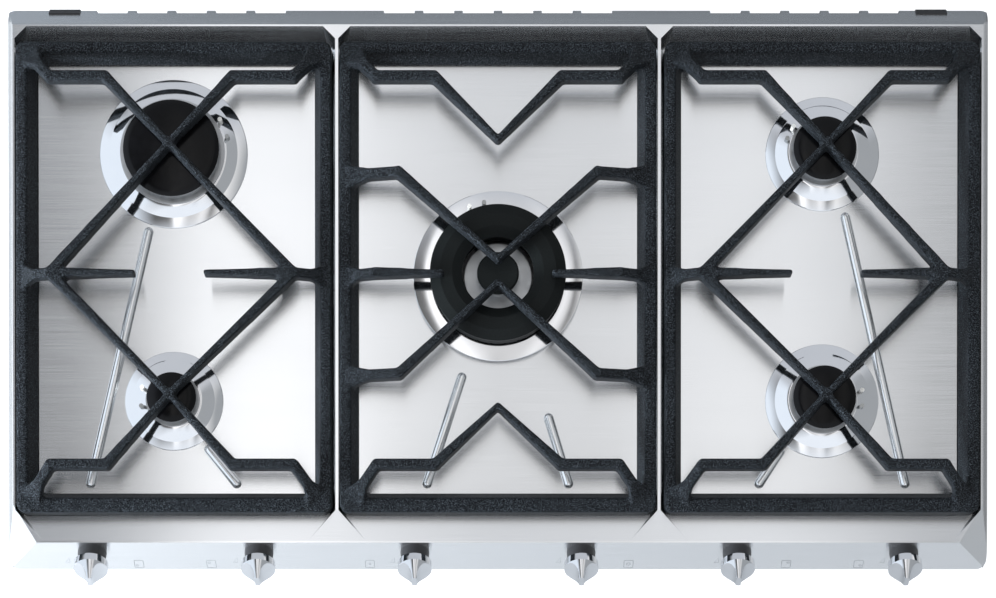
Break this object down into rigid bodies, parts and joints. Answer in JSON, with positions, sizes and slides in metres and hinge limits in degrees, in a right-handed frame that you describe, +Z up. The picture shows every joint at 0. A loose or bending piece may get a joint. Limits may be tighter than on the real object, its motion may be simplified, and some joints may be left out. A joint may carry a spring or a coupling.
{
  "type": "gas cooktop",
  "caption": "Built-in stainless gas cooktop with cast-iron pan stands, burners, front knobs and an under-worktop casing.",
  "frame": {"origin": "centre of the worktop cut-out, on the worktop surface", "axes": "+X to the right as the cook sees it, +Y to the rear, +Z up"},
  "size_m": [0.9, 0.5295, 0.114],
  "materials": {
    "brushed_stainless": "fine horizontal brushing, satin",
    "polished_steel": "mirror polished",
    "galvanised_steel": "galvanised, dull spangle",
    "black_rubber": "closed-cell foam, matt",
    "black_plastic": "moulded, slight sheen",
    "cast_iron_enamel": "speckled matt enamel on cast iron",
    "cast_aluminium": "die-cast, satin",
    "matt_black_enamel": "matt black enamel",
    "gloss_black_enamel": "gloss black enamel",
    "brass": "machined",
    "white_ceramic": "glazed ceramic",
    "turned_steel": "zinc plated",
    "aluminium_tube": "drawn tube, satin",
    "chrome_plate": "mirror chrome plate",
    "grey_plastic": "moulded"
  },
  "bodies": {
    "root": {"hob_top": "brushed_stainless", "burner_rings": "polished_steel", "under_casing": "galvanised_steel", "casing_screws": "galvanised_steel", "worktop_clamps": "galvanised_steel", "clamp_screws": "galvanised_steel", "worktop_seal": "black_rubber", "hinge_plugs": "black_plastic", "knob_collars": "black_plastic", "tap_switches": "black_plastic", "spark_generator": "black_plastic", "burner_cups": "cast_aluminium", "centre_inner_crown": "cast_aluminium", "injectors": "brass", "gas_taps": "brass", "gas_inlet": "brass", "spark_electrodes": "white_ceramic", "thermocouples": "turned_steel", "gas_rail": "turned_steel", "feed_pipes": "aluminium_tube", "mains_terminal": "grey_plastic"},
    "tap_rotor_1": {"tap_plug_1": "brass"},
    "knob_1": {"tap_spindle_1": "turned_steel", "knob_1": "chrome_plate"},
    "tap_rotor_2": {"tap_plug_2": "brass"},
    "knob_2": {"tap_spindle_2": "turned_steel", "knob_2": "chrome_plate"},
    "tap_rotor_3": {"tap_plug_3": "brass"},
    "knob_3": {"tap_spindle_3": "turned_steel", "knob_3": "chrome_plate"},
    "tap_rotor_4": {"tap_plug_4": "brass"},
    "knob_4": {"tap_spindle_4": "turned_steel", "knob_4": "chrome_plate"},
    "tap_rotor_5": {"tap_plug_5": "brass"},
    "knob_5": {"tap_spindle_5": "turned_steel", "knob_5": "chrome_plate"},
    "tap_rotor_6": {"tap_plug_6": "brass"},
    "knob_6": {"tap_spindle_6": "turned_steel", "knob_6": "chrome_plate"},
    "stand_left": {"pan_stand_left": "cast_iron_enamel"},
    "stand_centre": {"pan_stand_centre": "cast_iron_enamel"},
    "stand_right": {"pan_stand_right": "cast_iron_enamel"},
    "rear_left_crown": {"rear_left_crown": "cast_aluminium"},
    "rear_left_cap": {"rear_left_cap": "gloss_black_enamel"},
    "front_left_crown": {"front_left_crown": "cast_aluminium"},
    "front_left_cap": {"front_left_cap": "gloss_black_enamel"},
    "rear_right_crown": {"rear_right_crown": "cast_aluminium"},
    "rear_right_cap": {"rear_right_cap": "gloss_black_enamel"},
    "front_right_crown": {"front_right_crown": "cast_aluminium"},
    "front_right_cap": {"front_right_cap": "gloss_black_enamel"},
    "centre_crown": {"centre_crown": "matt_black_enamel"},
    "centre_ring_cap": {"centre_ring_cap": "matt_black_enamel"},
    "centre_inner_cap": {"centre_inner_cap": "matt_black_enamel"}
  },
  "joints": [
    {"name": "knob_1_turn", "type": "hinge", "parent": "root", "child": "tap_rotor_1", "pos_m": [-0.3713, -0.2426, 0.02308], "axis": [0, -0.8619, 0.507], "range_deg": [0, 210]},
    {"name": "knob_1_push", "type": "slide", "parent": "tap_rotor_1", "child": "knob_1", "axis": [0, 0.8619, -0.507], "range_m": [0, 0.003], "stiffness_N_per_m": 1500, "springref_m": -0.001},
    {"name": "knob_2_turn", "type": "hinge", "parent": "root", "child": "tap_rotor_2", "pos_m": [-0.2187, -0.2426, 0.02308], "axis": [0, -0.8619, 0.507], "range_deg": [0, 210]},
    {"name": "knob_2_push", "type": "slide", "parent": "tap_rotor_2", "child": "knob_2", "axis": [0, 0.8619, -0.507], "range_m": [0, 0.003], "stiffness_N_per_m": 1500, "springref_m": -0.001},
    {"name": "knob_3_turn", "type": "hinge", "parent": "root", "child": "tap_rotor_3", "pos_m": [-0.076, -0.2426, 0.02308], "axis": [0, -0.8619, 0.507], "range_deg": [0, 210]},
    {"name": "knob_3_push", "type": "slide", "parent": "tap_rotor_3", "child": "knob_3", "axis": [0, 0.8619, -0.507], "range_m": [0, 0.003], "stiffness_N_per_m": 1500, "springref_m": -0.001},
    {"name": "knob_4_turn", "type": "hinge", "parent": "root", "child": "tap_rotor_4", "pos_m": [0.076, -0.2426, 0.02308], "axis": [0, -0.8619, 0.507], "range_deg": [0, 210]},
    {"name": "knob_4_push", "type": "slide", "parent": "tap_rotor_4", "child": "knob_4", "axis": [0, 0.8619, -0.507], "range_m": [0, 0.003], "stiffness_N_per_m": 1500, "springref_m": -0.001},
    {"name": "knob_5_turn", "type": "hinge", "parent": "root", "child": "tap_rotor_5", "pos_m": [0.2187, -0.2426, 0.02308], "axis": [0, -0.8619, 0.507], "range_deg": [0, 210]},
    {"name": "knob_5_push", "type": "slide", "parent": "tap_rotor_5", "child": "knob_5", "axis": [0, 0.8619, -0.507], "range_m": [0, 0.003], "stiffness_N_per_m": 1500, "springref_m": -0.001},
    {"name": "knob_6_turn", "type": "hinge", "parent": "root", "child": "tap_rotor_6", "pos_m": [0.3713, -0.2426, 0.02308], "axis": [0, -0.8619, 0.507], "range_deg": [0, 210]},
    {"name": "knob_6_push", "type": "slide", "parent": "tap_rotor_6", "child": "knob_6", "axis": [0, 0.8619, -0.507], "range_m": [0, 0.003], "stiffness_N_per_m": 1500, "springref_m": -0.001},
    {"name": "stand_left_lift", "type": "slide", "parent": "root", "child": "stand_left", "axis": [0, 0, 1], "range_m": [0, 0.12]},
    {"name": "stand_centre_lift", "type": "slide", "parent": "root", "child": "stand_centre", "axis": [0, 0, 1], "range_m": [0, 0.12]},
    {"name": "stand_right_lift", "type": "slide", "parent": "root", "child": "stand_right", "axis": [0, 0, 1], "range_m": [0, 0.12]},
    {"name": "rear_left_crown_lift", "type": "slide", "parent": "root", "child": "rear_left_crown", "axis": [0, 0, 1], "range_m": [0, 0.06]},
    {"name": "rear_left_cap_lift", "type": "slide", "parent": "rear_left_crown", "child": "rear_left_cap", "axis": [0, 0, 1], "range_m": [0, 0.024]},
    {"name": "front_left_crown_lift", "type": "slide", "parent": "root", "child": "front_left_crown", "axis": [0, 0, 1], "range_m": [0, 0.06]},
    {"name": "front_left_cap_lift", "type": "slide", "parent": "front_left_crown", "child": "front_left_cap", "axis": [0, 0, 1], "range_m": [0, 0.024]},
    {"name": "rear_right_crown_lift", "type": "slide", "parent": "root", "child": "rear_right_crown", "axis": [0, 0, 1], "range_m": [0, 0.06]},
    {"name": "rear_right_cap_lift", "type": "slide", "parent": "rear_right_crown", "child": "rear_right_cap", "axis": [0, 0, 1], "range_m": [0, 0.024]},
    {"name": "front_right_crown_lift", "type": "slide", "parent": "root", "child": "front_right_crown", "axis": [0, 0, 1], "range_m": [0, 0.06]},
    {"name": "front_right_cap_lift", "type": "slide", "parent": "front_right_crown", "child": "front_right_cap", "axis": [0, 0, 1], "range_m": [0, 0.024]},
    {"name": "centre_crown_lift", "type": "slide", "parent": "root", "child": "centre_crown", "axis": [0, 0, 1], "range_m": [0, 0.06]},
    {"name": "centre_ring_cap_lift", "type": "slide", "parent": "centre_crown", "child": "centre_ring_cap", "axis": [0, 0, 1], "range_m": [0, 0.024]},
    {"name": "centre_inner_cap_lift", "type": "slide", "parent": "root", "child": "centre_inner_cap", "axis": [0, 0, 1], "range_m": [0, 0.06]}
  ],
  "couplings": [
    {"joint": "rear_left_crown_lift", "follows": "stand_left_lift", "ratio": 0.5},
    {"joint": "rear_left_cap_lift", "follows": "stand_left_lift", "ratio": 0.2},
    {"joint": "front_left_crown_lift", "follows": "stand_left_lift", "ratio": 0.5},
    {"joint": "front_left_cap_lift", "follows": "stand_left_lift", "ratio": 0.2},
    {"joint": "rear_right_crown_lift", "follows": "stand_right_lift", "ratio": 0.5},
    {"joint": "rear_right_cap_lift", "follows": "stand_right_lift", "ratio": 0.2},
    {"joint": "front_right_crown_lift", "follows": "stand_right_lift", "ratio": 0.5},
    {"joint": "front_right_cap_lift", "follows": "stand_right_lift", "ratio": 0.2},
    {"joint": "centre_crown_lift", "follows": "stand_centre_lift", "ratio": 0.5},
    {"joint": "centre_ring_cap_lift", "follows": "stand_centre_lift", "ratio": 0.2},
    {"joint": "centre_inner_cap_lift", "follows": "stand_centre_lift", "ratio": 0.5}
  ]
}
